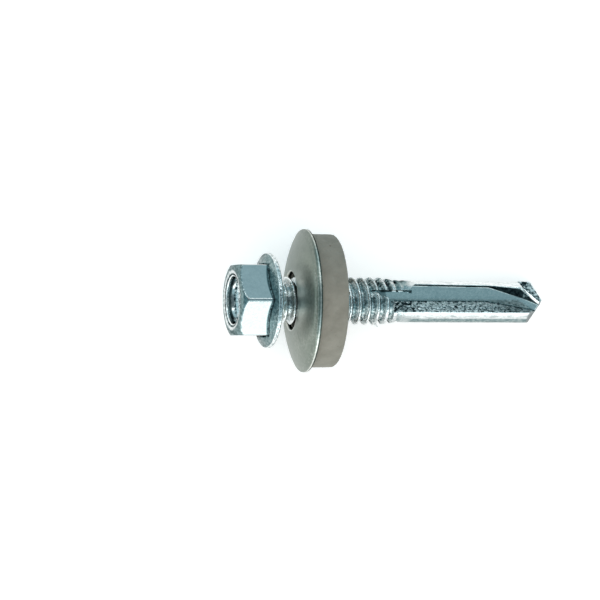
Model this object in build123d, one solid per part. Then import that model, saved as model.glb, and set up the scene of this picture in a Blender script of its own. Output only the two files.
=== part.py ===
from build123d import *
from math import asin, atan2, ceil, cos, degrees, hypot, radians, sin, tan
import os

# A self-drilling screw with a hexagon flange head and a bonded sealing washer, in millimetres.
#
# Each piece is drawn in the screw's own frame: the origin is the centre of the flange's bearing face and
# +Z runs down the shank to the drill point. The head is at negative Z. The dies that pinch the flutes and
# the point close along X, so the flutes face +X and -X, and the dies part at +Y and -Y.
# At the end the whole screw is laid down as it comes to rest, on the edge of its seal and on one flute.

# How far joined forms run into each other, and the straight runs that stand for a rounding
overlap = 0.1
runs_per_arc = 2

# Hexagon head
across_flats = 7.62
head_height = 4.28
crown_drop = 0.65
ridge_r = 3.25
recess_r = 2.59
recess_lip_drop = 0.22
recess_depth = 1.7
recess_floor_r = 1.7
recess_floor_rise = 0.12
recess_belly_in = 0.22
recess_belly_down = 0.62

# Flange
flange_r = 5.17
flange_edge = 0.36
flange_slope = 26.0
flange_chamfer = 0.1
flange_under_hexagon = 0.4

# Neck and thread
neck_r = 2.33
neck_length = 0.75
neck_fillet = 0.4
neck_taper = 0.3
thread_major_r = 2.62
thread_root_r = 2.06
thread_pitch = 25.4 / 24
thread_crest = 0.15
thread_flank = 0.34
thread_first_crest = 1.1
thread_run_in = 0.8
thread_end = 15.3
thread_run_out = 3.7
thread_start_r = 2.2

# Drill point
drill_r = 2.32
drill_swell = 2.2
length = 32.0
rake_edge_angle = -55.5
hook_start_edge_angle = -48.5
back_edge_angle = 31.0
flute_corner_x = 0.5
flute_overcut = 1.2
flute_hook_share = 0.9
flute_start = 10.85
flute_ramp = 2.7
flute_ramp_foot_y = -1.15
flute_shoulder = 16.45
flute_shoulder_ramp = 1.2
flute_ramp_lift = 0.4
hook_length = 6.8
hook_edge_angle = -29.0
hook_y = 0.5
hook_corner_y = 1.1
hook_overrun = 0.6
tip_half_angle = 53.1
tip_relief = 33.4
tip_flat = 0.36
tip_flat_angle = 54.8
lip_offset = 0.32
lip_notch_length = 2.6
lip_notch_root = 0.4
lip_notch_slant = 29.0
lip_notch_draft = 13.0
lip_notch_edge_y = -1.52
lip_notch_root_y = -0.05

# Sealing washer: dished steel plate
plate_r = 7.8
plate_hole_r = 3.17
plate_thickness = 0.48
plate_flat_r = 4.55
plate_dish = 1.23
plate_bend_width = 1.07
plate_front = 2.47

# Sealing washer: bonded rubber ring, and how far its own weight tilts the loose washer on the thread
seal_r = 7.28
seal_bore_clearance = 0.35
seal_depth = 4.78
seal_rounding = 0.44
washer_tilt = 4.5


def spun(*points):
    """A solid of revolution about Z from (radius, z) points."""
    return revolve(Plane.XZ * make_face(Polyline(*points, close=True)), Axis.Z)


def spun_wire(wire):
    """A solid of revolution about Z from a closed wire, with each arc as a few straight runs."""
    corners = []
    for edge in wire.order_edges():
        runs = runs_per_arc if edge.geom_type == GeomType.CIRCLE else 1
        corners += [tuple(edge @ (i / runs))[:2] for i in range(runs)]
    return spun(*corners)


def polar(radius, angle):
    return radius * cos(radians(angle)), radius * sin(radians(angle))


def crowned_hexagon():
    """The driving hexagon, domed towards its corners, with a forged hollow in its crown."""
    corner_r = across_flats / 2 / cos(radians(30))
    hexagon = extrude(RegularPolygon(corner_r, 6), amount=-head_height)
    corner = (corner_r, crown_drop - head_height)
    dome = TangentArc((ridge_r, -head_height), corner, tangent=(1, 0))
    crown = spun_wire(dome + Polyline(corner, (corner_r, 0), (0, 0), (0, -head_height), (ridge_r, -head_height)))
    return (hexagon & crown) - crown_hollow()


def crown_hollow():
    """A round bowl with a sloping lip, left by the heading punch."""
    rim_z = -head_height + recess_lip_drop
    floor_z = -head_height + recess_depth
    belly_r = recess_r - recess_belly_in * (recess_r - recess_floor_r)
    belly_z = rim_z + recess_belly_down * (floor_z - rim_z)
    wall = ThreePointArc((recess_r, rim_z), (belly_r, belly_z), (recess_floor_r, floor_z - recess_floor_rise))
    floor = Line(wall @ 1, (0, floor_z))
    above = -head_height - 1
    lip_top_r = ridge_r + (ridge_r - recess_r) / recess_lip_drop
    return spun_wire(wall + floor + Polyline((0, floor_z), (0, above), (lip_top_r, above), (recess_r, rim_z)))


def flange():
    """The forged collar under the hexagon: flat below, a thin cone above, with a blunted rim."""
    inner_r = across_flats / 2 - flange_under_hexagon
    rise = flange_edge + (flange_r - inner_r) * tan(radians(flange_slope))
    return spun(
        (0, 0),
        (flange_r - flange_chamfer, 0),
        (flange_r, -flange_chamfer),
        (flange_r, -flange_edge),
        (flange_r - flange_chamfer, -flange_edge - flange_chamfer),
        (inner_r, -rise),
        (0, -rise),
    )


def neck():
    """The plain neck, with a fillet where it meets the bearing face."""
    outer = neck_r + neck_fillet
    corner = ThreePointArc(
        (outer, 0),
        (outer - neck_fillet * sin(radians(45)), neck_fillet * (1 - cos(radians(45)))),
        (neck_r, neck_fillet),
    )
    bottom = neck_length + neck_taper
    rest = Polyline(
        (neck_r, neck_fillet),
        (neck_r, neck_length),
        (thread_root_r - overlap, bottom),
        (0, bottom),
        (0, -flange_edge / 2),
        (outer, -flange_edge / 2),
        (outer, 0),
    )
    return spun_wire(corner + rest)


def helix_turn(radius, z):
    """One turn of a right-hand helix that starts over +X at z; with no radius, its length of the axis."""
    if radius == 0:
        return Line((0, 0, z), (0, 0, z + thread_pitch)).edge()
    return Pos(0, 0, z) * Helix(thread_pitch, thread_pitch, radius).edge()


def helical_strip(start, end):
    """One turn of the surface swept between two (radius, z) corners."""
    return Face.make_surface_from_curves(helix_turn(*start), helix_turn(*end))


def thread_corners(crest_z):
    """One pitch of the thread's outline over +X: (radius, z) corners about a crest at crest_z."""
    crest = thread_crest / 2
    foot = crest + thread_flank
    return [
        (thread_root_r, crest_z - foot),
        (thread_major_r, crest_z - crest),
        (thread_major_r, crest_z + crest),
        (thread_root_r, crest_z + foot),
        (thread_root_r, crest_z - foot + thread_pitch),
    ]


def thread_end_faces(crest_z):
    """The half slice and the turn of helicoid that close the threaded rod at one end."""
    corners = thread_corners(crest_z)
    start = (0, corners[0][1])
    outline = [(r, 0, z) for r, z in [start, *corners, (0, corners[-1][1])]]
    return [Face(Wire.make_polygon(outline, close=True)), helical_strip(corners[0], start)]


def threaded_rod():
    """A rod with the thread at full depth all along, sewn from one-turn strips of its surface."""
    turns = ceil((thread_end - thread_first_crest) / thread_pitch)
    faces = thread_end_faces(thread_first_crest - thread_pitch)
    for turn in range(-1, turns):
        corners = thread_corners(thread_first_crest + turn * thread_pitch)
        faces += [helical_strip(*pair) for pair in zip(corners, corners[1:])]
    faces += thread_end_faces(thread_first_crest + turns * thread_pitch)
    return Solid(Shell(Face.sew_faces(faces)[0]))


def thread():
    """A right-hand rolled thread that runs in below the neck and fades out into the drill body."""
    start = neck_length - overlap / 2
    beyond = thread_major_r + overlap
    limits = spun(
        (0, start),
        (thread_start_r, start),
        (beyond, start + thread_run_in),
        (beyond, thread_end - thread_run_out),
        (drill_r - overlap, thread_end),
        (0, thread_end),
    )
    return threaded_rod() & limits


def drill_body():
    """The plain round shank below the thread, cut to a two-facet point."""
    swell = thread_end - drill_swell
    body = spun(
        (0, swell),
        (thread_root_r - overlap, swell),
        (drill_r, thread_end),
        (drill_r, length + 1),
        (0, length + 1),
    )
    return (body & point_profile()) - point_waste() - Rot(0, 0, 180) * point_waste()


def point_profile():
    """The trimmed outline of the point: two slopes that meet in a short flat."""
    wide = 2 * drill_r
    shoulder = length - (wide - tip_flat / 2) / tan(radians(tip_flat_angle))
    outline = Polyline(
        (-wide, 0),
        (-wide, shoulder),
        (-tip_flat / 2, length),
        (tip_flat / 2, length),
        (wide, shoulder),
        (wide, 0),
        close=True,
    )
    return extrude(Plane.YZ * make_face(outline), amount=wide, both=True)


def point_waste():
    """What one ground flank takes off: its plane falls away from the chisel edge and behind the lip."""
    fall = 1 / tan(radians(tip_half_angle))
    relief = tan(radians(tip_relief))
    size = 4 * drill_r
    plane = Plane(
        origin=(0, 0, length),
        x_dir=(0, 1, -fall),
        z_dir=(relief, fall, 1),
    )
    return plane * extrude(Rectangle(size, size), amount=size)


def outward(edge, inner):
    """The wall from inner to edge, carried on past the drill's round."""
    past = flute_overcut
    return edge[0] + (edge[0] - inner[0]) * past, edge[1] + (edge[1] - inner[1]) * past


def flute_profile(rake_edge, hook, corner, back_edge):
    """A flute's open cross-section: the hooked lip wall, the rake wall, the corner and the back wall."""
    rake_out = outward(rake_edge, hook)
    back_out = outward(back_edge, corner)
    far = (4 * drill_r, (rake_out[1] + back_out[1]) / 2)
    return make_face(Polyline(rake_out, hook, corner, back_out, far, close=True))


def on_rake_wall(y):
    """A point of the rake wall's plane, which runs from the flute's corner to the land's edge."""
    edge = polar(drill_r, rake_edge_angle)
    return flute_corner_x + (edge[0] - flute_corner_x) * y / edge[1], y


def straight_profile(edge_angle):
    rake_edge = polar(drill_r, edge_angle)
    hook = on_rake_wall(flute_hook_share * rake_edge[1])
    return flute_profile(rake_edge, hook, on_rake_wall(0), polar(drill_r, back_edge_angle))


def hooked_edge_angle(share):
    return hook_start_edge_angle + (hook_edge_angle - hook_start_edge_angle) * share


def hooked_profile(share):
    """The flute at a share of the hook's length: the land leans over it and its corner moves across."""
    rake_edge = polar(drill_r, hooked_edge_angle(share))
    hook = on_rake_wall(rake_edge_y() + (hook_y - rake_edge_y()) * share)
    corner = on_rake_wall(hook_corner_y * share)
    return flute_profile(rake_edge, hook, corner, polar(drill_r, back_edge_angle))


def flute():
    """One pinched flute: a V that ramps out of the thread and hooks over at the point."""
    hook_start = length - hook_length
    sections = [
        (flute_start, straight_profile(rake_edge_angle)),
        (hook_start, straight_profile(hook_start_edge_angle)),
        (length - lip_notch_length, hooked_profile(1 - lip_notch_length / hook_length)),
        (length + hook_overrun, hooked_profile(1 + hook_overrun / hook_length)),
    ]
    return loft([Pos(0, 0, z) * profile for z, profile in sections], ruled=True) - ramp()


def ramp():
    """The die's end, which leaves the flute narrow in the thread and its floor rising out of it."""
    wall = Plane.YZ * make_face(
        Polyline(
            (-2 * drill_r, flute_start - 1),
            (-2 * drill_r, flute_shoulder),
            (rake_edge_y(), flute_shoulder),
            (flute_ramp_foot_y, flute_shoulder - flute_shoulder_ramp),
            (flute_ramp_foot_y, flute_start),
            (0, flute_start + flute_ramp),
            (2 * drill_r, flute_start + flute_ramp + flute_ramp_lift),
            (2 * drill_r, flute_start - 1),
            close=True,
        )
    )
    return extrude(wall, amount=4 * drill_r, both=True)


def rake_edge_y():
    return polar(drill_r, rake_edge_angle)[1]


def lip_notch():
    """The sheared step beside each cutting lip, where the flash between the dies was trimmed."""
    beyond_y = -4 * drill_r
    slant = (lip_notch_edge_y - beyond_y) * tan(radians(lip_notch_slant))
    outline = Polyline(
        (beyond_y, length - lip_notch_length - slant),
        (lip_notch_edge_y, length - lip_notch_length),
        (lip_notch_root_y, length - lip_notch_root),
        (lip_notch_root_y, length + 1),
        (beyond_y, length + 1),
        close=True,
    )
    away = (1, 0, -tan(radians(lip_notch_draft)))
    return Pos(lip_offset, 0, 0) * extrude(Plane.YZ * make_face(outline), amount=4 * drill_r, dir=away)


def screw():
    """Head, shank and drill point are one cold-forged piece."""
    body = crowned_hexagon() + flange()
    body += neck()
    body += thread()
    body += drill_body()
    for turn in (0, 180):
        body -= Rot(0, 0, turn) * flute()
        body -= Rot(0, 0, turn) * lip_notch()
    return body


def plate_outline(offset, inner_r, outer_r):
    """The dish's line, offset towards the seal: a flat round the hole, then a cone down to the rim."""
    slope = plate_dish / (plate_r - plate_flat_r)
    z = plate_front + offset
    half_bend = plate_bend_width / 2
    return Polyline(
        (inner_r, z),
        (plate_flat_r - half_bend, z),
        (plate_flat_r + half_bend, z + half_bend * slope),
        (outer_r, z + (outer_r - plate_flat_r) * slope),
    )


def washer_plate():
    """A dished sheet-steel washer."""
    front = plate_outline(0, plate_hole_r, plate_r)
    back = plate_outline(plate_thickness, plate_hole_r, plate_r)
    sides = [Line(front @ 1, back @ 1), Line(back @ 0, front @ 0)]
    return spun_wire(front + sides[0] + back + sides[1])


def seal_ring():
    """The rubber ring bonded to the back of the plate."""
    bore = thread_major_r + seal_bore_clearance
    back_z = plate_front + seal_depth
    front = plate_outline(plate_thickness, bore, seal_r)
    rim = FilletPolyline(front @ 1, (seal_r, back_z), (bore, back_z), radius=seal_rounding)
    return spun_wire(front + rim + Line((bore, back_z), front @ 0))


def washer_middle():
    """The middle of the seal's bore, which the washer tilts about."""
    return plate_front + (plate_thickness + seal_depth) / 2


def tilted(piece):
    """The loose washer leans on the thread, with its lower side nearer the point."""
    return Pos(0, 0, washer_middle()) * Rot(0, washer_tilt, 0) * Pos(0, 0, -washer_middle()) * piece


def washer_edges():
    """The washer's edges that can touch the floor, each as its centre's z and radius and its rounding."""
    plate_rim = (plate_front + plate_thickness + plate_dish, plate_r, 0)
    seal_back = (plate_front + seal_depth - seal_rounding, seal_r - seal_rounding, seal_rounding)
    return [plate_rim, seal_back]


def lowest_of(z, radius):
    """The lowest point of a circle on the tilted washer, as its z and its distance below the axis."""
    along = z - washer_middle()
    turn = radians(washer_tilt)
    return washer_middle() + along * cos(turn) + radius * sin(turn), radius * cos(turn) - along * sin(turn)


def lean_on(washer_edge, rake_z, rake_low):
    """The lean at which the floor touches this edge of the washer and the rake wall's edge."""
    z, radius, rounding = washer_edge
    low_z, low = lowest_of(z, radius)
    reach = hypot(rake_z - low_z, low - rake_low)
    return atan2(low - rake_low, rake_z - low_z) + asin(rounding / reach)


def lying():
    """Where the screw comes to rest: the washer and both edges of one flute touch the floor."""
    rake_angle = hooked_edge_angle(1 - lip_notch_length / hook_length)
    rake_z = length - lip_notch_length
    heel_x, heel_y = polar(drill_r, back_edge_angle)
    heel_z = length - heel_y / tan(radians(tip_half_angle)) - heel_x * tan(radians(tip_relief))
    middle = (rake_angle + back_edge_angle) / 2
    half_opening = radians(back_edge_angle - rake_angle) / 2
    down = middle
    for _ in range(4):
        rake_low = drill_r * cos(radians(rake_angle - down))
        lean = max(lean_on(edge, rake_z, rake_low) for edge in washer_edges())
        tip_in = (heel_z - rake_z) * tan(lean) / (2 * drill_r * sin(half_opening))
        down = middle - degrees(asin(tip_in))
    return Rot(0, 90 + degrees(lean), 0) * Rot(0, 0, 180 - down)


pieces = {"screw": screw(), "washer_plate": tilted(washer_plate()), "seal_ring": tilted(seal_ring())}
placed = {name: lying() * piece for name, piece in pieces.items()}
box = Compound(list(placed.values())).bounding_box()
to_floor = Pos(-box.center().X, -box.center().Y, -box.min.Z)
os.makedirs("parts", exist_ok=True)
for name, piece in placed.items():
    export_step(to_floor * piece, f"parts/{name}.step")
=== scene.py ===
from math import cos, pi, radians, sin
import bmesh
import bpy
import numpy as np
from mathutils import Matrix, Vector, noise
from mathutils.bvhtree import BVHTree


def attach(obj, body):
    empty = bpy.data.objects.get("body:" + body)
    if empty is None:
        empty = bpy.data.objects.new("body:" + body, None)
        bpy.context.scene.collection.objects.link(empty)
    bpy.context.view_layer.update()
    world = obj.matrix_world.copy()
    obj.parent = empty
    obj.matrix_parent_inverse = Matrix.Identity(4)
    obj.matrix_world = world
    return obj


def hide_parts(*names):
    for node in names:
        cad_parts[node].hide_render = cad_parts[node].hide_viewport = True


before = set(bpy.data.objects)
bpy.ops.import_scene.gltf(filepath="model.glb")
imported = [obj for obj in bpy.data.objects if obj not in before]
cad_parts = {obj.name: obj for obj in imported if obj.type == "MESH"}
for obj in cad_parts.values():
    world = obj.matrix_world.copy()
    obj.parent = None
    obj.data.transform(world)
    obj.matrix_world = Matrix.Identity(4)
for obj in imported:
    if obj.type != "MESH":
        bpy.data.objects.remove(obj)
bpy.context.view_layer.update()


# ---- Where the screw lies -------------------------------------------------------------------------
# The screw rests on the rim of its washer and on the edges of one drill flute, so its axis runs
# down towards the point. Its own frame has its origin at the middle of the flange's bearing face,
# +Z down the shank and +X up out of the flute that shows; pieces are drawn there, in millimetres.
REST_ORIGIN = Vector((-13.1294, -0.0076, 8.7469))
REST_X = Vector((0.231357, -0.083802, 0.969253))
REST_Z = Vector((0.972674, 0.0, -0.232174))
REST_Y = REST_Z.cross(REST_X)
LYING = Matrix.Scale(0.001, 4) @ Matrix((
    (REST_X.x, REST_Y.x, REST_Z.x, REST_ORIGIN.x),
    (REST_X.y, REST_Y.y, REST_Z.y, REST_ORIGIN.y),
    (REST_X.z, REST_Y.z, REST_Z.z, REST_ORIGIN.z),
    (0, 0, 0, 1),
))


# ---- Camera ---------------------------------------------------------------------------------------
# A long lens looks down on the screw from the head's side, a quarter of a metre away, so the
# crown's hollow and the front of the washer both show.
CAMERA_PLACE = (-0.030374, -0.026117, 0.256803)
CAMERA_RIGHT = Vector((0.99644, -0.02734, 0.07979))
CAMERA_AHEAD = Vector((0.08223, 0.10426, -0.99115))

camera_data = bpy.data.cameras.new("camera")
camera_data.sensor_width = 36
camera_data.lens = 138.54
camera = bpy.data.objects.new("camera", camera_data)
view_ahead = CAMERA_AHEAD.normalized()
view_up = CAMERA_RIGHT.cross(view_ahead).normalized()
view_right = view_ahead.cross(view_up)
camera.matrix_world = Matrix((
    (view_right.x, view_up.x, -view_ahead.x, CAMERA_PLACE[0]),
    (view_right.y, view_up.y, -view_ahead.y, CAMERA_PLACE[1]),
    (view_right.z, view_up.z, -view_ahead.z, CAMERA_PLACE[2]),
    (0, 0, 0, 1),
))
bpy.context.scene.collection.objects.link(camera)
bpy.context.scene.camera = camera


# ---- Floor, room and lamps --------------------------------------------------------------------------
# A white sheet of paper in a blue-grey room. A long softbox stands on the near side, low down, and
# the paper throws its light back up into the undersides. A dim panel fills in from above without
# showing in the metal, and a narrow strip behind gives the pressed flute wall its glints.
def node_tree(owner):
    """The node tree of a material or the world, emptied, with its output node."""
    owner.use_nodes = True
    tree = owner.node_tree
    tree.nodes.clear()
    kind = "ShaderNodeOutputWorld" if isinstance(owner, bpy.types.World) else "ShaderNodeOutputMaterial"
    return tree, tree.nodes.new(kind)


def add_node(tree, kind, settings=None, **values):
    """A node with its settings, and with values or links on its inputs, by name or by number as i0 and i1."""
    node = tree.nodes.new(kind)
    for name, value in (settings or {}).items():
        setattr(node, name, value)
    for name, value in values.items():
        numbered = name[0] == "i" and name[1:].isdigit()
        socket = node.inputs[int(name[1:]) if numbered else name.replace("_", " ")]
        if isinstance(value, bpy.types.NodeSocket):
            tree.links.new(value, socket)
        else:
            socket.default_value = value
    return node


def calculated(tree, operation, *terms):
    """The result of one sum on these terms."""
    inputs = {f"i{index}": term for index, term in enumerate(terms)}
    return add_node(tree, "ShaderNodeMath", {"operation": operation}, **inputs).outputs[0]


def remapped(tree, value, low, high, to_low=0.0, to_high=1.0, kind="LINEAR"):
    """The value moved from one range to another, and held between the ends of the second."""
    ends = {"From_Min": low, "From_Max": high, "To_Min": to_low, "To_Max": to_high}
    return add_node(tree, "ShaderNodeMapRange", {"interpolation_type": kind}, Value=value, **ends).outputs[0]


def blended(tree, share, first, second):
    """A colour between two others."""
    colours = {"i6": first, "i7": second}
    return add_node(tree, "ShaderNodeMix", {"data_type": "RGBA"}, i0=share, **colours).outputs[2]


FLOOR_REACH = 2
PAPER_WHITE = (0.80, 0.80, 0.79, 1)
PAPER_GLOW = 0.42
ROOM_WALLS = (0.42, 0.64, 0.71, 1)
ROOM_CEILING = (0.13, 0.18, 0.20, 1)
CEILING_STARTS = (0.72, 0.90)
SOFTBOX_HEIGHT = 0.702
SOFTBOX_PLACE = (0, -1.5, SOFTBOX_HEIGHT / 2)
SOFTBOX_TARGET = (0, 0, SOFTBOX_HEIGHT / 2)

paper = bpy.data.materials.new("white_paper")
tree, output = node_tree(paper)
rays = add_node(tree, "ShaderNodeLightPath")
matt = add_node(tree, "ShaderNodeBsdfDiffuse", Color=PAPER_WHITE)
glow = add_node(tree, "ShaderNodeEmission", Color=(1, 1, 1, 1), Strength=PAPER_GLOW)
both = add_node(tree, "ShaderNodeAddShader", i0=matt.outputs[0], i1=glow.outputs[0])
seen = calculated(tree, "MAXIMUM", rays.outputs["Is Camera Ray"], rays.outputs["Is Glossy Ray"])
seen = calculated(tree, "MAXIMUM", seen, rays.outputs["Is Transmission Ray"])
mixed = add_node(tree, "ShaderNodeMixShader", Fac=seen, i1=matt.outputs[0], i2=both.outputs[0])
tree.links.new(mixed.outputs[0], output.inputs["Surface"])

floor_mesh = bpy.data.meshes.new("floor")
corners = [(x * FLOOR_REACH, y * FLOOR_REACH, 0) for x, y in ((-1, -1), (1, -1), (1, 1), (-1, 1))]
floor_mesh.from_pydata(corners, [], [(0, 1, 2, 3)])
floor_mesh.materials.append(paper)
floor_sheet = bpy.data.objects.new("floor", floor_mesh)
bpy.context.scene.collection.objects.link(floor_sheet)

world = bpy.data.worlds.new("room")
bpy.context.scene.world = world
tree, output = node_tree(world)
place = add_node(tree, "ShaderNodeTexCoord")
height = add_node(tree, "ShaderNodeSeparateXYZ", i0=place.outputs["Generated"])
overhead = remapped(tree, height.outputs["Z"], *CEILING_STARTS, kind="SMOOTHSTEP")
surroundings = blended(tree, overhead, ROOM_WALLS, ROOM_CEILING)
room = add_node(tree, "ShaderNodeBackground", Color=surroundings, Strength=1.0)
tree.links.new(room.outputs[0], output.inputs["Surface"])


def soft_lamp(name, place, target, width, height, power, colour, in_metal=True):
    """A rectangular soft lamp that faces its target, and that the metal may or may not mirror."""
    lamp = bpy.data.lights.new(name, "AREA")
    lamp.shape = "RECTANGLE"
    lamp.size = width
    lamp.size_y = height
    lamp.energy = power
    lamp.color = colour
    holder = bpy.data.objects.new(name, lamp)
    holder.location = place
    holder.rotation_mode = "QUATERNION"
    holder.rotation_quaternion = (Vector(target) - Vector(place)).to_track_quat("-Z", "Y")
    holder.visible_glossy = in_metal
    bpy.context.scene.collection.objects.link(holder)


soft_lamp("softbox", SOFTBOX_PLACE, SOFTBOX_TARGET, 4.8, SOFTBOX_HEIGHT, 19.5, (1.0, 0.985, 0.96))
soft_lamp("overhead", (0, -0.22, 0.58), (0, 0, 0), 0.7, 0.7, 2.6, (1.0, 0.82, 0.75), in_metal=False)
soft_lamp("rear_strip", (0, 0.35, 0.45), (0, 0, 0), 1.2, 0.08, 0.8, (1.0, 1.0, 1.0))

bpy.context.scene.view_settings.view_transform = "Standard"


# ---- Head -----------------------------------------------------------------------------------------
# The hexagon and its collar are zinc-plated steel, cold-forged in one piece with the shank. The dies
# leave a deep round hollow with a pebbled bottom in the crown, a soft edge and a ridge off each corner.
FLAT_DISTANCE = 3.81
HEAD_TOP = -4.24
CROWN_RIDGE = 3.25
CROWN_DROP = 0.65
CORNER_DISTANCE = FLAT_DISTANCE / cos(radians(30))
CORNER_SHARPNESS = 70
HOLLOW_LIP = (2.59, -4.06)
HOLLOW_BELLY = (2.394, -3.14)
HOLLOW_FLOOR = (1.70, -2.70)
HOLLOW_DEEPEST = -2.58
# Painted light in the hollow: the floor painted dark as shade, then bands of painted highlight and painted
# shade up the wall to the lip.
HOLLOW_TONES = ((-0.6, 0.5), (0.6, 0.2), (0.5, 0.3), (-0.4, 0.7), (0.3, 0.1), (-0.85, 0.05), (0.6, 0.3))
# The crown is painted darker and bluer, a painted reflection of the room.
CROWN_TONE = (-0.58, 0.15)
CROWN_EDGE_TONE = (-0.1, 0.25)
# The bearing face is painted brighter so that its reflection in the washer plate is lighter.
BEARING_TONE = (0.6, 0.25)
# The neck is painted lighter, a painted highlight where it would mirror the dark ceiling.
NECK_TONE = (0.6, 0.4)
# The third value of each ring is painted light: painted highlights on the lip and before the ridge, painted
# shade in the ring between and on the ridge.
LIP_AND_RIDGE = (
    (2.63, -4.09, 0.6), (2.68, -4.11, 0.6), (2.74, -4.125, -0.9), (2.88, -4.16, -0.9),
    (2.94, -4.175, 0.1), (3.12, -4.21, 0.3), (CROWN_RIDGE, HEAD_TOP, -0.4),
)
PEBBLE_SIZE = 0.34
PEBBLE_HEIGHT = 0.10
PEBBLE_STEEPNESS = 1.3
CROWN_STEPS = (0.12, 0.25, 0.38, 0.5, 0.62, 0.74, 0.86, 0.94, 1.0)
SIDE_STEPS = (0.03, 0.08, 0.16, 0.3, 0.45, 0.6, 0.75, 0.88, 0.93, 0.97)
EDGE_SOFTNESS = 0.06
COLLAR_FILLET = 0.12
COLLAR_FILLET_TURNS = (0, 25, 50, 75, 90)
COLLAR_RIM = 5.07
COLLAR_RIM_TOP = -0.46
COLLAR_SLOPE = 0.4567
COLLAR_RIDGE_HEIGHT = 0.035
COLLAR_RIDGE_WIDTH = 0.09
# The first two rings of the rim's top edge carry a painted highlight.
COLLAR_EDGE = (
    (5.11, -0.435, 0.5, 0.3), (5.145, -0.39, 0.5, 0.3), (5.165, -0.33, 0.15, 0.5),
    (5.17, -0.22, 0.15, 0.5), (5.165, -0.12, 0.15, 0.5), (5.14, -0.04, 0.15, 0.5),
)
# Painted shade in the crease where the flats meet the collar.
FILLET_SHEEN = -0.85
NECK_RADIUS = 2.33
NECK_FILLET = 0.4
NECK_FILLET_TURNS = (20, 40, 60, 80, 90)
NECK_TAPER = ((NECK_RADIUS, 0.55), (NECK_RADIUS, 0.70), (2.30, 0.78), (2.15, 0.92), (1.9, 1.0))
BEARING_RADII = (5.08, 5.0, 4.6, 4.0, 3.4, 2.9, NECK_RADIUS + NECK_FILLET)
HEAD_COLUMNS = 360
GRAIN_NOISE = (3600, 3, 0.6)
MOTTLE_NOISE = (900, 4)
SPARKLE_RANGE = (0.38, 0.62, -1.1, 1.1)
MOTTLE_RANGE = (0.3, 0.7, -0.05, 0.05)
EDGE_SHINE_RANGE = (0.02, 0.36, 0.05)
ROUGHER_BY_GRAIN = 0.25
GRAIN_DEPTH = 0.00012
ZINC_GLOSS = 0.14


def noise_at(points, size, seed=0.0):
    """Smooth noise between -1 and 1 at each point, with lumps of the given size."""
    shift = Vector((seed, seed * 0.7, -seed))
    return np.array([noise.noise(Vector(point) / size + shift) for point in points])


def pebbles_at(points, size, seed=0.0):
    """Rounded pebbles between 0 and 1 at each point."""
    shift = Vector((seed, seed, seed))
    distances = [noise.voronoi(Vector(point) / size + shift)[0][0] for point in points]
    return np.clip(1 - PEBBLE_STEEPNESS * np.array(distances), 0, 1)


def lofted_mesh(name, rings):
    """A closed mesh through rings of points, with a pole at the middle of each end ring."""
    count = len(rings[0])
    points = rings + [rings[0].mean(axis=0)[None], rings[-1].mean(axis=0)[None]]
    first_pole = len(rings) * count
    faces = []
    for row in range(len(rings) - 1):
        for column in range(count):
            after = (column + 1) % count
            low, high = row * count, (row + 1) * count
            faces.append((low + column, low + after, high + after, high + column))
    last = (len(rings) - 1) * count
    for column in range(count):
        after = (column + 1) % count
        faces.append((first_pole, after, column))
        faces.append((first_pole + 1, last + column, last + after))
    mesh = bpy.data.meshes.new(name)
    mesh.from_pydata(np.concatenate(points).tolist(), [], faces)
    return mesh


def finished_piece(name, mesh, placing):
    """An object whose place is in its mesh, with smooth, outward faces."""
    mesh.transform(placing)
    shell = bmesh.new()
    shell.from_mesh(mesh)
    bmesh.ops.recalc_face_normals(shell, faces=shell.faces)
    shell.to_mesh(mesh)
    shell.free()
    mesh.shade_smooth()
    piece = bpy.data.objects.new(name, mesh)
    bpy.context.scene.collection.objects.link(piece)
    return piece


def ring_at(angles, radius, z):
    """A ring of points at these angles, whose radius and height may change on the way round."""
    x, y = radius * np.cos(angles), radius * np.sin(angles)
    return np.stack([x, y, np.broadcast_to(z, angles.shape)], axis=1)


def hexagon_distance(angles):
    """Distance from the axis to the softly cornered hexagon."""
    towards = [np.maximum(np.cos(angles - radians(30 + 60 * side)), 0) for side in range(6)]
    return FLAT_DISTANCE / sum(share ** CORNER_SHARPNESS for share in towards) ** (1 / CORNER_SHARPNESS)


def crown_height(radius):
    """The domed crown outside its ridge."""
    across = CORNER_DISTANCE - CROWN_RIDGE
    bow = (across ** 2 + CROWN_DROP ** 2) / (2 * CROWN_DROP)
    return HEAD_TOP + bow - np.sqrt(bow ** 2 - (radius - CROWN_RIDGE) ** 2)


def collar_height(radius):
    """The sloping top of the collar."""
    return COLLAR_RIM_TOP - (COLLAR_RIM - radius) * COLLAR_SLOPE


def hollow_rings(around):
    """The hollow, from the middle of its pebbled floor up its bellied wall, with its floor painted dark as
    shade and bands of painted highlight and painted shade up the wall.
    """
    for radius in np.linspace(0.05, HOLLOW_FLOOR[0], 24):
        share = radius / HOLLOW_FLOOR[0]
        ring = ring_at(around, radius, HOLLOW_DEEPEST + (HOLLOW_FLOOR[1] - HOLLOW_DEEPEST) * share ** 2)
        ring[:, 2] -= PEBBLE_HEIGHT * pebbles_at(ring, PEBBLE_SIZE)
        yield (ring, *HOLLOW_TONES[0])
    profile = np.array((HOLLOW_FLOOR, HOLLOW_BELLY, HOLLOW_LIP))
    for share in np.linspace(0.04, 1, 25):
        weights = ((1 - share) * (1 - 2 * share), 4 * share * (1 - share), share * (2 * share - 1))
        ring = ring_at(around, *(weights @ profile))
        ring[:, 2] -= PEBBLE_HEIGHT * (1 - share) ** 2 * pebbles_at(ring, PEBBLE_SIZE)
        yield (ring, *HOLLOW_TONES[min(int(6 * share + 0.5), 6)])


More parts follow.
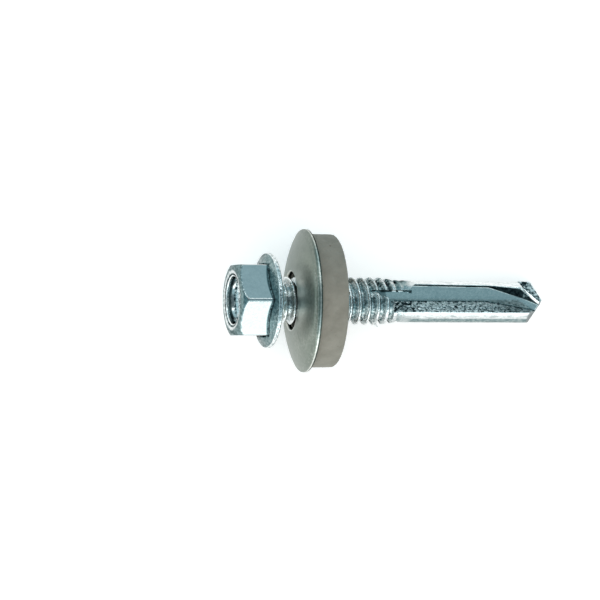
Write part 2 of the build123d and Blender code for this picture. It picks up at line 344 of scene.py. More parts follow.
def crown_rings(around, side):
    """The hollow's lip and the ridge round it, with rings of painted highlight and painted shade, and the
    crown that falls to the soft edge, painted darker as a painted reflection.
    """
    for radius, z, finish_and_painted_light in LIP_AND_RIDGE:
        yield ring_at(around, radius, z), finish_and_painted_light, 0.3
    for share in CROWN_STEPS:
        radius = CROWN_RIDGE + (side - EDGE_SOFTNESS - CROWN_RIDGE) * share
        yield (ring_at(around, radius, crown_height(radius)), *CROWN_TONE)
    edge = crown_height(side)
    for inward, below in ((0.3, 0.3), (0, 1)):
        ring = ring_at(around, side - inward * EDGE_SOFTNESS, edge + below * EDGE_SOFTNESS)
        yield (ring, *CROWN_EDGE_TONE)


def side_rings(around, side):
    """The hexagon's flats and the fillet at their foot, painted dark as shade in the crease."""
    top = crown_height(side) + EDGE_SOFTNESS
    foot = collar_height(side + COLLAR_FILLET)
    for share in SIDE_STEPS:
        finish_and_painted_light = 0.0 if share < 0.95 else FILLET_SHEEN
        yield ring_at(around, side, top + (foot - COLLAR_FILLET - top) * share), finish_and_painted_light, 0.02
    for turn in COLLAR_FILLET_TURNS:
        out = COLLAR_FILLET * (1 - cos(radians(turn)))
        z = foot - COLLAR_FILLET * (1 - sin(radians(turn)))
        yield ring_at(around, side + out, z), FILLET_SHEEN, 0.2


def collar_rings(around, side):
    """The collar's top with a fine ridge off each corner, its rim and its bearing face. The top is painted
    darker as a painted reflection, more so beside the fillet as painted shade; the rim's top edge carries a
    painted highlight, and the bearing face is painted brighter so that its reflection in the plate is
    lighter.
    """
    off_corner = np.abs((around + pi / 6) % (pi / 3) - pi / 6)
    inner = side + COLLAR_FILLET
    for share in np.linspace(0.08, 1, 12):
        radius = inner + (COLLAR_RIM - inner) * share
        ridge = COLLAR_RIDGE_HEIGHT * np.exp(-((off_corner * radius / COLLAR_RIDGE_WIDTH) ** 2))
        z = collar_height(radius) - ridge * min(1, 8 * (1 - share))
        yield ring_at(around, radius, z), -0.65 if share < 0.1 else -0.5, 0.15
    for radius, z, finish_and_painted_light, grain in COLLAR_EDGE:
        yield ring_at(around, radius, z), finish_and_painted_light, grain
    for radius in BEARING_RADII:
        yield (ring_at(around, radius, 0.0), *BEARING_TONE)


def neck_rings(around):
    """The fillet under the head, the plain neck, and its taper into the thread, all painted lighter as a
    painted highlight.
    """
    for turn in NECK_FILLET_TURNS:
        radius = NECK_RADIUS + NECK_FILLET * (1 - sin(radians(turn)))
        yield (ring_at(around, radius, NECK_FILLET * (1 - cos(radians(turn)))), *NECK_TONE)
    for radius, z in NECK_TAPER:
        yield (ring_at(around, radius, z), *NECK_TONE)


def head_bands():
    """Rings over the whole head, from the middle of the hollow to the neck, with sheen and grain."""
    around = np.linspace(0, 2 * pi, HEAD_COLUMNS, endpoint=False)
    side = hexagon_distance(around)
    bands = [*hollow_rings(around), *crown_rings(around, side), *side_rings(around, side)]
    return bands + [*collar_rings(around, side), *neck_rings(around)]


def tones_of(bands, poles=()):
    """The tone, painted light and shade included, and the grain of every point of these rings, and of the
    poles at the rings given.
    """
    counts = [len(ring) for ring, finish_and_painted_light, grain in bands] + [1] * len(poles)
    tones = [band[1:] for band in bands] + [bands[end][1:] for end in poles]
    return np.repeat(np.array(tones), counts, axis=0).T


def toned(mesh, finish_and_painted_light, grain):
    """The mesh with how bright the metal is painted at each of its points, painted highlights, reflections
    and shade included, and how rough it is.
    """
    for name, values in (("finish_and_painted_light", finish_and_painted_light), ("grain", grain)):
        layer = mesh.attributes.new(name, "FLOAT", "POINT")
        layer.data.foreach_set("value", np.broadcast_to(values, len(mesh.vertices)).astype(np.float32))
    return mesh


def noise_texture(tree, scale, detail, roughness=0.5):
    """Noise fixed to the piece, in cycles a metre."""
    place = add_node(tree, "ShaderNodeTexCoord").outputs["Object"]
    return add_node(
        tree, "ShaderNodeTexNoise", Vector=place, Scale=scale, Detail=detail, Roughness=roughness,
    ).outputs[0]


def zinc_plating(name, black, dull, plain, bright, gloss):
    """Zinc on steel: dull to bright by the tone painted on its points, its finish and painted highlights,
    reflections and shade together, and broken up by sparkling grain.
    """
    material = bpy.data.materials.new(name)
    tree, output = node_tree(material)
    finish_and_painted_light = add_node(tree, "ShaderNodeAttribute", {"attribute_name": "finish_and_painted_light"}).outputs["Fac"]
    grain = add_node(tree, "ShaderNodeAttribute", {"attribute_name": "grain"}).outputs["Fac"]
    fine = noise_texture(tree, *GRAIN_NOISE)
    mottle = remapped(tree, noise_texture(tree, *MOTTLE_NOISE), *MOTTLE_RANGE)
    sparkle = calculated(tree, "MULTIPLY", remapped(tree, fine, *SPARKLE_RANGE), grain)
    level = calculated(tree, "ADD", calculated(tree, "ADD", finish_and_painted_light, sparkle), mottle)
    level = remapped(tree, level, -1, 1)
    tint = add_node(tree, "ShaderNodeValToRGB", Fac=level)
    stops = tint.color_ramp.elements
    stops[0].color = (*black, 1)
    stops[1].color = (*bright, 1)
    stops.new(0.25).color = (*dull, 1)
    stops.new(0.5).color = (*plain, 1)
    # Where the tone is painted dark the edges shine less too, so painted shade stays dark at grazing angles.
    edge_shine = remapped(tree, level, *EDGE_SHINE_RANGE)
    rough = remapped(tree, grain, 0, 1, gloss, gloss + ROUGHER_BY_GRAIN)
    relief = remapped(tree, grain, 0, 1, 0.03, 1)
    bump = add_node(tree, "ShaderNodeBump", Strength=relief, Distance=GRAIN_DEPTH, Height=fine).outputs[0]
    shader = add_node(tree, "ShaderNodeBsdfPrincipled", Metallic=1.0, Roughness=rough, Normal=bump)
    tree.links.new(tint.outputs[0], shader.inputs["Base Color"])
    tree.links.new(edge_shine, shader.inputs["Specular Tint"])
    tree.links.new(shader.outputs[0], output.inputs["Surface"])
    return material


bands = head_bands()
finish_and_painted_light, grain = tones_of(bands, poles=(0, -1))
zinc_colours = ((0.02, 0.03, 0.035), (0.19, 0.275, 0.28), (0.50, 0.53, 0.53), (0.95, 0.97, 0.96))
zinc = zinc_plating("zinc_plating", *zinc_colours, ZINC_GLOSS)
head_mesh = lofted_mesh("screw_head", [band[0] for band in bands])
head = finished_piece("screw_head", toned(head_mesh, finish_and_painted_light, grain), LYING)
head.data.materials.append(zinc)
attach(head, "screw")
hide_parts("screw")


# ---- Thread -----------------------------------------------------------------------------------------
# A right-hand thread rolled onto the steel shank between flat dies. Its crests are rounded, it runs in
# below the plain neck, and the dies left one hair of metal standing off a crest.
THREAD = {
    "Pitch": 25.4 / 24, "Crest Radius": 2.62, "Root Radius": 2.06,
    "First Crest": 1.1, "Start": 0.5, "End": 10.75, "Dents": 0.05,
}
THREAD_DEPTH = THREAD["Crest Radius"] - THREAD["Root Radius"]
CREST_FLAT = 0.04
CREST_FOOT = 0.40
RUN_IN = (0.70, 1.50)
RUN_IN_RADII = (2.2, 2.72)
DENT_SCALE = 2.2
DENT_LEVELS = (0.35, 0.6)
WELD_DISTANCE = 0.0001
THREAD_COLUMNS = 240
THREAD_ROWS = 230
LAST_ROW = 0.4999
# Painted light on the thread: the groove is painted darker than the crests, the sides at plus and minus Y and
# one side of the run-out carry painted shade, and the neck a painted highlight.
GROOVE_SHEEN = -0.25
CREST_SHEEN = 0.5
SHEEN_RISE = 0.9
ABOVE_CREST = 1.05
SILHOUETTE_SHADE = 0.3
LIP_SIDE_SHADE = 0.6
LIP_SIDE_STARTS = (9, 13)
NECK_SHINE = 0.3
NECK_SHINE_FADES = (3.2, 1.7)
THREAD_GRAIN = 0.2
GRAIN_COARSENS = (8, 10.5)
BURR_PATH = ((0.3, 2.3, 11.9), (0.3, 2.6, 12.05), (0.22, 2.76, 12.22), (0.1, 2.88, 12.42))
BURR_THICKNESS = (0.13, 0.13, 0.12, 0.08)
BURR_FLATNESS = 0.45
BURR_TURNS = (0, 1.26, 2.51, 3.77, 5.03)


def thread_tree():
    """Geometry nodes that roll a grid into a shank and press the thread into it."""
    tree = bpy.data.node_groups.new("rolled_thread", "GeometryNodeTree")
    tree.interface.new_socket("Geometry", in_out="OUTPUT", socket_type="NodeSocketGeometry")
    for name in THREAD:
        tree.interface.new_socket(name, in_out="INPUT", socket_type="NodeSocketFloat")
    tree.interface.new_socket("Material", in_out="INPUT", socket_type="NodeSocketMaterial")
    sizes = tree.nodes.new("NodeGroupInput").outputs
    result = tree.nodes.new("NodeGroupOutput")

    def math(operation, *terms):
        return calculated(tree, operation, *terms)

    columns = {"Size_X": 1, "Size_Y": 1, "Vertices_X": THREAD_COLUMNS + 1, "Vertices_Y": THREAD_ROWS}
    grid = add_node(tree, "GeometryNodeMeshGrid", **columns)
    position = add_node(tree, "GeometryNodeInputPosition").outputs[0]
    spot = add_node(tree, "ShaderNodeSeparateXYZ", i0=position).outputs
    turn = math("ADD", spot["X"], 0.5)
    along = math("ADD", spot["Y"], 0.5)
    angle = math("MULTIPLY", turn, 2 * pi)
    z = remapped(tree, along, 0.0, 1.0, sizes["Start"], sizes["End"])
    climbed = math("DIVIDE", math("SUBTRACT", z, sizes["First Crest"]), sizes["Pitch"])
    turns = math("SUBTRACT", climbed, turn)
    from_crest = math("ABSOLUTE", math("SUBTRACT", math("FRACT", math("ADD", turns, 0.5)), 0.5))
    height = remapped(tree, from_crest, CREST_FLAT, CREST_FOOT, 1.0, 0.0, "SMOOTHSTEP")
    raised = remapped(tree, height, 0.0, 1.0, sizes["Root Radius"], sizes["Crest Radius"])
    radius = math("MINIMUM", raised, remapped(tree, z, *RUN_IN, *RUN_IN_RADII))

    def rolled_to(radius):
        x = math("MULTIPLY", radius, math("COSINE", angle))
        y = math("MULTIPLY", radius, math("SINE", angle))
        return add_node(tree, "ShaderNodeCombineXYZ", X=x, Y=y, Z=z).outputs[0]

    lumps = add_node(tree, "ShaderNodeTexNoise", Vector=rolled_to(radius), Scale=DENT_SCALE, Detail=2)
    dent = math("MULTIPLY", remapped(tree, lumps.outputs[0], *DENT_LEVELS, 1.0, 0.0), sizes["Dents"])
    not_end = math("LESS_THAN", math("ABSOLUTE", spot["Y"]), LAST_ROW)
    radius = math("MULTIPLY", math("SUBTRACT", radius, dent), not_end)
    rolled = {"Geometry": grid.outputs["Mesh"], "Position": rolled_to(radius)}
    shape = add_node(tree, "GeometryNodeSetPosition", **rolled)
    weld = add_node(tree, "GeometryNodeMergeByDistance", Geometry=shape.outputs[0], Distance=WELD_DISTANCE)
    real = add_node(tree, "GeometryNodeRealizeInstances", i0=weld.outputs[0])
    plated = add_node(tree, "GeometryNodeSetMaterial", Geometry=real.outputs[0], Material=sizes["Material"])
    tree.links.new(plated.outputs[0], result.inputs[0])
    return tree


def grown_mesh(tree, values):
    """The plain mesh that a geometry node tree makes from these named values."""
    seed = bpy.data.objects.new("seed", bpy.data.meshes.new("seed"))
    bpy.context.scene.collection.objects.link(seed)
    modifier = seed.modifiers.new("nodes", "NODES")
    modifier.node_group = tree
    for item in tree.interface.items_tree:
        if item.in_out == "INPUT" and item.name in values:
            modifier[item.identifier] = values[item.name]
    seed.update_tag()
    mesh = bpy.data.meshes.new_from_object(seed.evaluated_get(bpy.context.evaluated_depsgraph_get()))
    seed.modifiers.remove(modifier)
    bpy.data.objects.remove(seed)
    return mesh


def points_of(mesh):
    """The mesh's points as rows of an array."""
    points = np.empty(len(mesh.vertices) * 3)
    mesh.vertices.foreach_get("co", points)
    return points.reshape(-1, 3)


def eased(values, start, end):
    """How far each value has come from start to end, held between 0 and 1."""
    return np.clip((values - start) / (end - start), 0, 1)


def painted_thread_light(spots):
    """Painted light on rolled metal: painted shade in the groove and a painted highlight on the crests,
    painted shade on the sides at plus and minus Y and on one side of the run-out, a painted highlight at the
    neck, and the hair above the crests darkest.
    """
    x, y, z = spots.T
    radius = np.hypot(x, y)
    height = (radius - THREAD["Root Radius"]) / THREAD_DEPTH
    rolled = np.clip(GROOVE_SHEEN + SHEEN_RISE * height, GROOVE_SHEEN, CREST_SHEEN)
    side_shade = SILHOUETTE_SHADE * (np.abs(y) / radius) ** 3
    lip_side = np.clip(-y * np.sign(x) / radius, 0, 1)
    side_shade = side_shade + LIP_SIDE_SHADE * lip_side ** 2 * eased(z, *LIP_SIDE_STARTS)
    neck = NECK_SHINE * eased(z, *NECK_SHINE_FADES)
    return np.where(height > ABOVE_CREST, -1.0, rolled - side_shade + neck)


def add_burr(mesh):
    """A hair of metal that the rolling dies left standing off one crest, joined to the mesh."""
    shell = bmesh.new()
    shell.from_mesh(mesh)
    around = [Vector((cos(turn), BURR_FLATNESS * sin(turn), -sin(turn))) for turn in BURR_TURNS]
    loops = []
    for point, thickness in zip(BURR_PATH, BURR_THICKNESS):
        corners = [Vector(point) + thickness * way for way in around]
        loops.append([shell.verts.new(corner) for corner in corners])
    for low, high in zip(loops, loops[1:]):
        for index in range(len(around)):
            after = (index + 1) % len(around)
            shell.faces.new((low[index], low[after], high[after], high[index]))
    shell.faces.new(loops[0][::-1])
    shell.faces.new(loops[-1])
    shell.to_mesh(mesh)
    shell.free()


shank = grown_mesh(thread_tree(), {**THREAD, "Material": zinc})
add_burr(shank)
spots = points_of(shank)
toned(shank, painted_thread_light(spots), THREAD_GRAIN * (1 + eased(spots[:, 2], *GRAIN_COARSENS)))
thread = finished_piece("screw_thread", shank, LYING)
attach(thread, "screw")
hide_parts("screw")


# ---- Drill point ------------------------------------------------------------------------------------
# The end of the steel shank, pinched between dies into two flutes and two lips. The thread fades
# out over its start. The pinched back walls and the trimmed face beside each lip stay rough.
DRILL_START = 10.6
DRILL_GRAIN = 0.075
CUT_MARGIN = 0.05
SHELL_WELD = 0.0005
ROUND_WITHIN = 0.3
ROUND_FROM = 1.9
POINT_TILT = 0.15
DRILL_RADIUS = 2.32
LENGTH = 32
RUN_OUT = (11.6, 15.3)
RUN_OUT_RADII = (2.72, 2.22)
SWELL = (13.1, 15.3)
SWELL_RADII = (1.96, DRILL_RADIUS)
BACK_WALL, BACK_LEAST, BACK_TILT = (0.626, -0.780, 0.0), 0.87, 0.3
RAKE_WALL, RAKE_LEAST = (0.92, 0.392, 0.0), 0.9
HOOK_WALL, HOOK_LEAST = (0.60, 0.79, -0.08), 0.97
TRIM_LEAST = 0.97
TRIM_START = 28.5
# A painted highlight along each lip's edge.
LIP_PLANE = (0.12722, -0.82471, 0.55106)
LIP_PLANE_DISTANCE = 17.495
LIP_STRIP_WIDTH = 0.28
LIP_STRIP_START = 28.8
HOOK_LENGTH = 6.8
HOOK_CORNER_Y = 1.1
HOOK_CORNER_X = 0.5
HOOK_CORNER_SLANT = 0.426
HOOK_CORNER_WIDTH = 0.10
HOOK_TIP_START = 29.8
HOOK_TIP_REACH = ((29.8, 30.2, 30.7, 32.0), (-0.7, -0.37, -0.12, -0.02))
PALE_SPOT_PLACE = (-0.78, 29.75)
PALE_SPOT_SIZE = (0.25, 0.35)
FLANK_START = 29
POINT_SLOPE = 0.75
PALE_SPOT_LUMP, PALE_SPOT_SEED, PALE_SPOT_FROM = 0.16, 9.0, 0.05
PRESS_LUMPS, PRESS_SEED = ((0.30, 0.06), (0.15, 0.05)), 3.1
TRIM_LUMPS, TRIM_SEED = ((0.45, 0.050), (0.20, 0.045)), 7.7
FLUTE_SHEEN = -0.2
# The darkest painted shade, on the hook, under the thread's end and along the hook's corner.
SHADE_SHEEN = -0.95
# The point's flanks are painted dark, standing in for a darker reflection.
FLANK_SHEEN = -0.6
FLANK_LEAST = 0.5
PALE_SPOT_SHEEN = -0.1
LIP_SHEEN = 1.0
# Under the end of the thread the flute's start carries a painted shadow, broken by patches of painted glint.
GLINT_SHEEN = 0.9
GLINT_PATCH, GLINT_SEED, GLINT_FROM = 0.42, 6.0, 0.12
TRIM_SHEEN = -0.6
TRIM_EDGE, TRIM_EDGE_SHEEN = 0.25, 0.3
# Each land is painted brighter along its sides and darker down its middle, a painted reflection of the shaded
# paper beneath the point.
LAND_MIDDLE = (56, 90)
LAND_MIDDLE_SHEEN = -0.45
LAND_SIDE_SHEENS = (0.3, 0.55)
LAND_FADE = 0.9
LAND_EDGE_FADE = 3
STREAKS, STREAK_SIZE, STREAK_SEED = 0.5, 0.25, 4.0
BACK_BRIGHTENS = ((15.5, 17.5), (-0.5, 0.5))
UNDER_THREAD_END = 16.1
UNDER_THREAD_BAND = (-1.2, -0.98)
UNDER_THREAD_FROM = 0.5
RAGGEDNESS, RAGGED_LUMP, RAGGED_SEED = 0.2, 0.35, 2.0
ROUGH_GRAIN = 1.5
FLUTE_GRAIN = 0.04
LAND_GRAIN = 0.12
CRUMBLED_GRAIN = 0.28
CRUMBLED = (14.5, 13.0)


def rolled_radius(angles, z):
    """The thread's radius where it fades out into the drill, at these angles and heights."""
    turns = (z - THREAD["First Crest"]) / THREAD["Pitch"] - angles / (2 * pi)
    from_crest = np.abs((turns + 0.5) % 1 - 0.5)
    slope = eased(from_crest, CREST_FOOT, CREST_FLAT)
    height = slope * slope * (3 - 2 * slope)
    raised = THREAD["Root Radius"] + THREAD_DEPTH * height
    fade = np.interp(z, RUN_OUT, RUN_OUT_RADII)
    body = np.interp(z, SWELL, SWELL_RADII)
    return np.maximum(np.minimum(raised, fade), body)


def screw_shell():
    """The screw's solid as one closed shell, in its own frame and in millimetres."""
    shell = bmesh.new()
    shell.from_mesh(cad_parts["screw"].data)
    bmesh.ops.transform(shell, matrix=LYING.inverted(), verts=shell.verts)
    bmesh.ops.remove_doubles(shell, verts=shell.verts, dist=SHELL_WELD)
    return shell


def fine_mesh(shell, grain):
    """The shell remade of small even faces."""
    mesh = bpy.data.meshes.new("fine")
    shell.to_mesh(mesh)
    holder = bpy.data.objects.new("fine", mesh)
    bpy.context.scene.collection.objects.link(holder)
    remesh = holder.modifiers.new("remesh", "REMESH")
    remesh.mode = "VOXEL"
    remesh.voxel_size = grain
    fine = bpy.data.meshes.new_from_object(holder.evaluated_get(bpy.context.evaluated_depsgraph_get()))
    bpy.data.objects.remove(holder)
    return fine


def drill_mesh():
    """The drill end in fine faces, with true rounds, flat pinched walls and rough pressed ones."""
    shell = screw_shell()
    surface = BVHTree.FromBMesh(shell)
    bmesh.ops.bisect_plane(
        shell, geom=shell.verts[:] + shell.edges[:] + shell.faces[:],
        plane_co=(0, 0, DRILL_START), plane_no=(0, 0, -1), clear_outer=True,
    )
    bmesh.ops.holes_fill(shell, edges=shell.edges[:])
    mesh = fine_mesh(shell, DRILL_GRAIN)
    shell.free()
    points = points_of(mesh)
    nearest = [surface.find_nearest(point) for point in points.tolist()]
    normals = np.array([found[1] for found in nearest])
    inside = points[:, 2] > DRILL_START + CUT_MARGIN
    placed = np.where(inside[:, None], np.array([found[0] for found in nearest]), points)
    outer = on_the_outside(placed, normals) & inside
    radius = np.hypot(placed[:, 0], placed[:, 1])
    angles = np.arctan2(placed[:, 1], placed[:, 0])
    scale = np.where(outer, rolled_radius(angles, placed[:, 2]) / radius, 1.0)
    placed[:, :2] *= scale[:, None]
    return pressed(mesh, placed, normals, outer)


def on_the_outside(placed, normals):
    """Which points lie on the round outside, and not on a flute's wall or on the point's faces."""
    x, y, z = placed.T
    radius = np.hypot(x, y)
    around = np.abs(normals[:, 1] * x - normals[:, 0] * y) / np.maximum(radius, 0.1)
    threaded = z < SWELL[1] + 0.1
    upright = threaded | (np.abs(normals[:, 2]) < POINT_TILT)
    return (around < ROUND_WITHIN) & (radius > ROUND_FROM) & upright


def in_one_flute(rows):
    """Points or directions, with those of the far flute turned onto the near one."""
    return rows * np.where(rows[:, :1] < 0, (-1, -1, 1), (1, 1, 1))


def facing(normals, way, least):
    """Which points lie on a wall that faces this way, in either flute."""
    return in_one_flute(normals) @ np.array(Vector(way).normalized()) > least


def land_sheen(placed, outer):
    """The sheen of the rolled outside, with painted highlights along the sides of each land and a darker band
    down its middle, a painted reflection of the shaded paper beneath.
    """
    finish_and_painted_light = np.where(outer, painted_thread_light(placed), FLUTE_SHEEN)
    land = np.where(outer, eased(placed[:, 2], RUN_OUT[1], RUN_OUT[1] + LAND_FADE), 0)
    turn = np.degrees(np.arctan2(placed[:, 1], placed[:, 0])) % 180
    within = np.minimum(turn - LAND_MIDDLE[0], LAND_MIDDLE[1] - turn)
    middle = np.clip(within / LAND_EDGE_FADE + 0.5, 0, 1)
    streaks = STREAKS * noise_at(placed * (1, 1, 0.3), STREAK_SIZE, STREAK_SEED)
    painted_sides = np.where(turn < LAND_MIDDLE[0], *LAND_SIDE_SHEENS) + streaks
    return finish_and_painted_light + land * (painted_sides + (LAND_MIDDLE_SHEEN - painted_sides) * middle - finish_and_painted_light)


def band_under_thread(placed, aside, normals):
    """The strip along the flute's start, under the end of the thread, that carries a painted shadow broken by
    painted glints.
    """
    ragged = RAGGEDNESS * noise_at(placed, RAGGED_LUMP, RAGGED_SEED)
    band = (aside[:, 1] > UNDER_THREAD_BAND[0]) & (aside[:, 1] < ragged + UNDER_THREAD_BAND[1])
    outward = aside[:, 0] > UNDER_THREAD_FROM
    return band & outward & (placed[:, 2] < UNDER_THREAD_END) & (normals[:, 2] < FLANK_LEAST)


def pale_spotted(placed, aside):
    """The few pale spots in the hook's painted shade."""
    across = np.abs(aside[:, 1] - PALE_SPOT_PLACE[0]) < PALE_SPOT_SIZE[0]
    along = np.abs(placed[:, 2] - PALE_SPOT_PLACE[1]) < PALE_SPOT_SIZE[1]
    return across & along & (noise_at(placed, PALE_SPOT_LUMP, PALE_SPOT_SEED) > PALE_SPOT_FROM)


def beside_corner(aside):
    """Which points lie in the hook's inner corner, which widens to the point, and which are painted dark
    there as shade.
    """
    hooked = np.clip((aside[:, 2] - (LENGTH - HOOK_LENGTH)) / HOOK_LENGTH, 0, None)
    y = HOOK_CORNER_Y * hooked
    x = HOOK_CORNER_X - HOOK_CORNER_SLANT * y
    return np.hypot(aside[:, 0] - x, aside[:, 1] - y) < HOOK_CORNER_WIDTH


def pressed(mesh, placed, normals, outer):
    """The mesh moved to its places, with the lumps that pressing and trimming leave, and tones that are
    partly their finish and partly painted shade, highlights and reflections.
    """
    wall = ~outer & (placed[:, 2] > DRILL_START + 2 * CUT_MARGIN)
    back = wall & facing(normals, BACK_WALL, BACK_LEAST) & (np.abs(normals[:, 2]) < BACK_TILT)
    trim = wall & (np.abs(normals[:, 0]) > TRIM_LEAST) & (placed[:, 2] > TRIM_START)
    hook = wall & facing(normals, HOOK_WALL, HOOK_LEAST)
    aside = in_one_flute(placed)
    lip_strip = np.abs(aside @ np.array(LIP_PLANE) - LIP_PLANE_DISTANCE) < LIP_STRIP_WIDTH
    for area, lumps, seed in ((back, PRESS_LUMPS, PRESS_SEED), (trim, TRIM_LUMPS, TRIM_SEED)):
        spots = placed[area]
        height = sum(size * noise_at(spots, lump, seed) for lump, size in lumps)
        placed[area] += normals[area] * height[:, None]
    z = placed[:, 2]
    finish_and_painted_light = land_sheen(placed, outer)
    finish_and_painted_light[back] = np.interp(z[back], *BACK_BRIGHTENS)
    # Painted shadow under the thread's end, with patches of painted glint.
    shaded_band = wall & band_under_thread(placed, aside, normals)
    patches = noise_at(placed[shaded_band] * (1, 1, 0.8), GLINT_PATCH, GLINT_SEED)
    finish_and_painted_light[shaded_band] = np.where(patches > GLINT_FROM, GLINT_SHEEN, SHADE_SHEEN)
    # Painted dark flanks, standing in for a darker reflection.
    finish_and_painted_light[wall & (normals[:, 2] > FLANK_LEAST) & (z > FLANK_START)] = FLANK_SHEEN
    # The hook wall, and the rake wall near the tip below its reach, are painted dark as shade.
    rake = wall & facing(normals, RAKE_WALL, RAKE_LEAST) & (z > HOOK_TIP_START)
    hook = hook | (rake & (aside[:, 1] < np.interp(z, *HOOK_TIP_REACH)))
    finish_and_painted_light[hook] = SHADE_SHEEN
    # A few pale spots break the hook's painted shade.
    finish_and_painted_light[hook & pale_spotted(placed, aside)] = PALE_SPOT_SHEEN
    # Painted highlight along each lip.
    finish_and_painted_light[hook & lip_strip & (z > LIP_STRIP_START)] = LIP_SHEEN
    below_point = LENGTH - POINT_SLOPE * np.hypot(placed[trim, 0], placed[trim, 1]) - z[trim]
    finish_and_painted_light[trim] = np.where(below_point < TRIM_EDGE, TRIM_EDGE_SHEEN, TRIM_SHEEN)
    # Painted shade along the hook's inner corner.
    finish_and_painted_light[wall & beside_corner(aside)] = SHADE_SHEEN
    land_grain = LAND_GRAIN + CRUMBLED_GRAIN * eased(z, *CRUMBLED)
    grain = np.where(back | trim, ROUGH_GRAIN, np.where(outer, land_grain, FLUTE_GRAIN))
    mesh.vertices.foreach_set("co", placed.ravel())
    mesh.update()
    return toned(mesh, finish_and_painted_light, grain)


drill = finished_piece("screw_drill_point", drill_mesh(), LYING)
drill.data.materials.append(zinc)
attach(drill, "screw")
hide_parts("screw")


# ---- Washer plate -----------------------------------------------------------------------------------
# A dished washer stamped from galvanised sheet. The punch leaves a small raised lip round the hole. The lip
# and the cut rim carry painted highlights, and the burr behind the rim and the punched hole painted shade. It
# hangs loose on the thread, so it is a little cocked.
PLATE_FRONT = 2.47
PLATE_THICKNESS = 0.48
PLATE_HOLE = 3.17
PLATE_RIM = 7.8
PLATE_FLAT = 3.4
PLATE_DISH = 1.23
DISH_POWER = 1.7
HOLE_LIP = ((0.015, 0.10), (0.05, 0.03), (0.11, 0.0))
ROUNDED_BORDER = ((0.42, -0.13), (0.28, -0.085), (0.17, -0.04), (0.09, 0), (0.03, 0.07), (0.005, 0.15))
CUT_EDGE = ((0, 0.22), (0, 0.30))
EDGE_BURR = ((0, 0.37), (0.01, 0.43), (0.05, 0.47))
PUNCHED_HOLE = ((0.02, 0.44), (0, 0.36), (0, 0.2))
# The lip and the cut edge carry painted highlights; the burr behind the edge and the punched hole carry
# painted shade.
LIP_TONE, FRONT_TONE, BORDER_TONE, EDGE_TONE = (0.6, 0.1), (0, 0.04), (0.0, 0.1), (0.75, 0.15)
BURR_TONE, BEHIND_TONE, HOLE_TONE = (-0.9, 0.1), (0, 0.1), (-0.7, 0.2)
# A painted brightening of the collar's reflection beside the hole, and painted shade towards the plate's
# upper side.
REFLECTION_BRIGHTENING = 0.55
BRIGHTENED_PLACE = 4.4
BRIGHTENED_SIZE = (1.7, 3.6)
UPPER_SHADE = 0.25
UPPER_SHADE_SPAN = (-2.5, -5.5)
WASHER_MIDDLE = 5.1
WASHER_TILT = radians(4.5)
TO_MIDDLE = Matrix.Translation((0, 0, WASHER_MIDDLE))
COCKED = LYING @ TO_MIDDLE @ Matrix.Rotation(WASHER_TILT, 4, "Y") @ TO_MIDDLE.inverted()
PLATE_COLUMNS = 320
PLATE_ROWS = 40
SHEET_GLOSS = 0.34


def dish_height(radius):
    """How far the dished sheet's front falls back at this radius."""
    share = np.clip((radius - PLATE_FLAT) / (PLATE_RIM - PLATE_FLAT), 0, None)
    return PLATE_DISH * share ** DISH_POWER


def plate_bands():
    """Rings over the front from the hole to the rim, round the cut edge and back, with their tones."""
    around = np.linspace(0, 2 * pi, PLATE_COLUMNS, endpoint=False)
    rim = dish_height(PLATE_RIM)
    front = np.linspace(PLATE_HOLE + 0.2, PLATE_RIM - 0.55, PLATE_ROWS)
    behind = np.linspace(PLATE_RIM - 0.08, PLATE_HOLE + 0.1, PLATE_ROWS)
    parts = (
        ([(PLATE_HOLE + out, z) for out, z in HOLE_LIP], LIP_TONE),
        ([(radius, dish_height(radius)) for radius in front], FRONT_TONE),
        ([(PLATE_RIM - inward, rim + z) for inward, z in ROUNDED_BORDER], BORDER_TONE),
        ([(PLATE_RIM - inward, rim + z) for inward, z in CUT_EDGE], EDGE_TONE),
        ([(PLATE_RIM - inward, rim + z) for inward, z in EDGE_BURR], BURR_TONE),
        ([(radius, dish_height(radius) + PLATE_THICKNESS) for radius in behind], BEHIND_TONE),
        ([(PLATE_HOLE + out, z) for out, z in PUNCHED_HOLE], HOLE_TONE),
    )
    return [(ring_at(around, radius, PLATE_FRONT + z), *tone) for part, tone in parts for radius, z in part]


def painted_plate_light(spots):
    """How much the plate beside the hole is painted brighter, lightening the collar's reflection there, and
    how much painted shade darkens it above.
    """
    from_middle = ((spots[:, 0] - BRIGHTENED_PLACE) / BRIGHTENED_SIZE[0]) ** 2 + (spots[:, 1] / BRIGHTENED_SIZE[1]) ** 4
    return REFLECTION_BRIGHTENING * np.exp(-from_middle) - UPPER_SHADE * eased(spots[:, 1], *UPPER_SHADE_SPAN)


def hooped_mesh(name, rings):
    """A closed mesh through rings of points whose last ring joins its first."""
    count = len(rings[0])
    faces = []
    for row in range(len(rings)):
        low, high = row * count, (row + 1) % len(rings) * count
        for column in range(count):
            after = (column + 1) % count
            faces.append((low + column, low + after, high + after, high + column))
    mesh = bpy.data.meshes.new(name)
    mesh.from_pydata(np.concatenate(rings).tolist(), [], faces)
    return mesh


sheet_colours = ((0.04, 0.05, 0.045), (0.12, 0.14, 0.122), (0.21, 0.235, 0.20), (0.85, 0.84, 0.78))
galvanised = zinc_plating("galvanised_sheet", *sheet_colours, SHEET_GLOSS)
bands = plate_bands()
rings = [band[0] for band in bands]
finish_and_painted_light, grain = tones_of(bands)
# Painted light on the plate: the collar's reflection brightened beside the hole, and painted shade above.
finish_and_painted_light = finish_and_painted_light + painted_plate_light(np.concatenate(rings))
plate_mesh = toned(hooped_mesh("sealing_washer_plate", rings), finish_and_painted_light, grain)
plate = finished_piece("sealing_washer_plate", plate_mesh, COCKED)
plate.data.materials.append(galvanised)
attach(plate, "washer")
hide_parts("washer_plate")


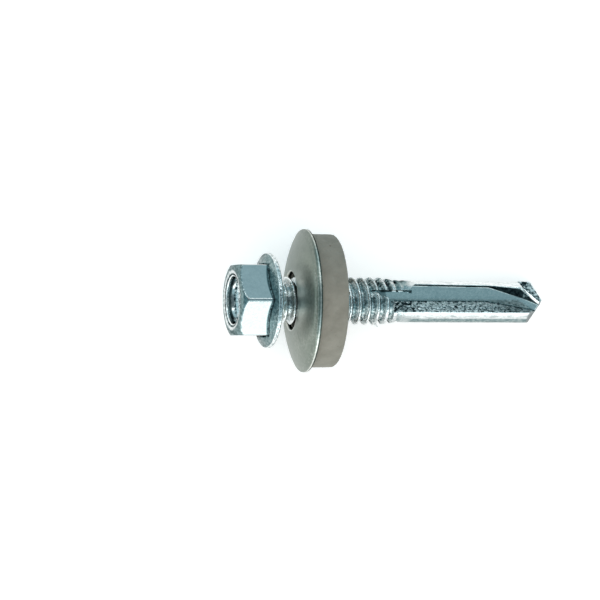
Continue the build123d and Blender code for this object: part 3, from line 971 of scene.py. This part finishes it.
# ---- Rubber seal ------------------------------------------------------------------------------------
# A ring of grey rubber moulded and bonded behind the plate. Its edges are a little ragged, and its
# filler shows as faint clouds and brown specks.
SEAL_RADIUS = 7.28
SEAL_BORE = 2.97
SEAL_BACK = 7.25
SEAL_ROUNDING = 0.44
SEAL_ROUNDING_TURNS = range(12, 91, 13)
SEAL_COLUMNS = 480
RAGGED = ((0.009, 0.9, 5.0), (0.008, 0.3, 8.0))
RUBBER_DARK = (0.195, 0.183, 0.150, 1)
RUBBER_PALE = (0.235, 0.221, 0.184, 1)
FILLER_BROWN = (0.10, 0.06, 0.045, 1)
CLOUD_NOISE, CLOUD_RANGE = (700, 4), (0.35, 0.65)
SPECK_NOISE, SPECK_RANGE = (3800, 1), (0.73, 0.78)
PIT_NOISE = (5000, 3)
PIT_DEPTH = 0.00006


def seal_rings():
    """Rings from the bore over the bonded front, down the side, round the edge and across the back."""
    around = np.linspace(0, 2 * pi, SEAL_COLUMNS, endpoint=False)
    bond = PLATE_FRONT + PLATE_THICKNESS
    front = [(radius, bond + dish_height(radius)) for radius in np.linspace(SEAL_BORE, SEAL_RADIUS, 30)]
    side = [(SEAL_RADIUS, z) for z in np.linspace(front[-1][1] + 0.08, SEAL_BACK - SEAL_ROUNDING, 26)]
    falls = [SEAL_ROUNDING * (1 - cos(radians(turn))) for turn in SEAL_ROUNDING_TURNS]
    rises = [SEAL_ROUNDING * (1 - sin(radians(turn))) for turn in SEAL_ROUNDING_TURNS]
    edge = [(SEAL_RADIUS - fall, SEAL_BACK - rise) for fall, rise in zip(falls, rises)]
    back = [(radius, SEAL_BACK) for radius in np.linspace(edge[-1][0] - 0.1, SEAL_BORE, 24)]
    bore = [(SEAL_BORE, z) for z in np.linspace(SEAL_BACK - 0.1, front[0][1] + 0.1, 16)]
    rings = []
    for radius, z in front + side + edge + back + bore:
        ring = ring_at(around, radius, z)
        ragged = sum(depth * np.abs(noise_at(ring, size, seed)) for depth, size, seed in RAGGED)
        ring[:, :2] *= 1 - ragged[:, None]
        rings.append(ring)
    return rings


def rubber(name):
    """Matt grey rubber, faintly cloudy, with fine pits and brown filler specks."""
    material = bpy.data.materials.new(name)
    tree, output = node_tree(material)
    cloudy = remapped(tree, noise_texture(tree, *CLOUD_NOISE), *CLOUD_RANGE)
    speck = remapped(tree, noise_texture(tree, *SPECK_NOISE), *SPECK_RANGE)
    tint = blended(tree, speck, blended(tree, cloudy, RUBBER_DARK, RUBBER_PALE), FILLER_BROWN)
    pits = noise_texture(tree, *PIT_NOISE)
    bump = add_node(tree, "ShaderNodeBump", Strength=0.25, Distance=PIT_DEPTH, Height=pits).outputs[0]
    shader = add_node(tree, "ShaderNodeBsdfPrincipled", Roughness=0.7, Base_Color=tint, Normal=bump)
    tree.links.new(shader.outputs[0], output.inputs["Surface"])
    return material


seal = finished_piece("sealing_washer_rubber", hooped_mesh("sealing_washer_rubber", seal_rings()), COCKED)
seal.data.materials.append(rubber("grey_rubber"))
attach(seal, "washer")
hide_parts("seal_ring")
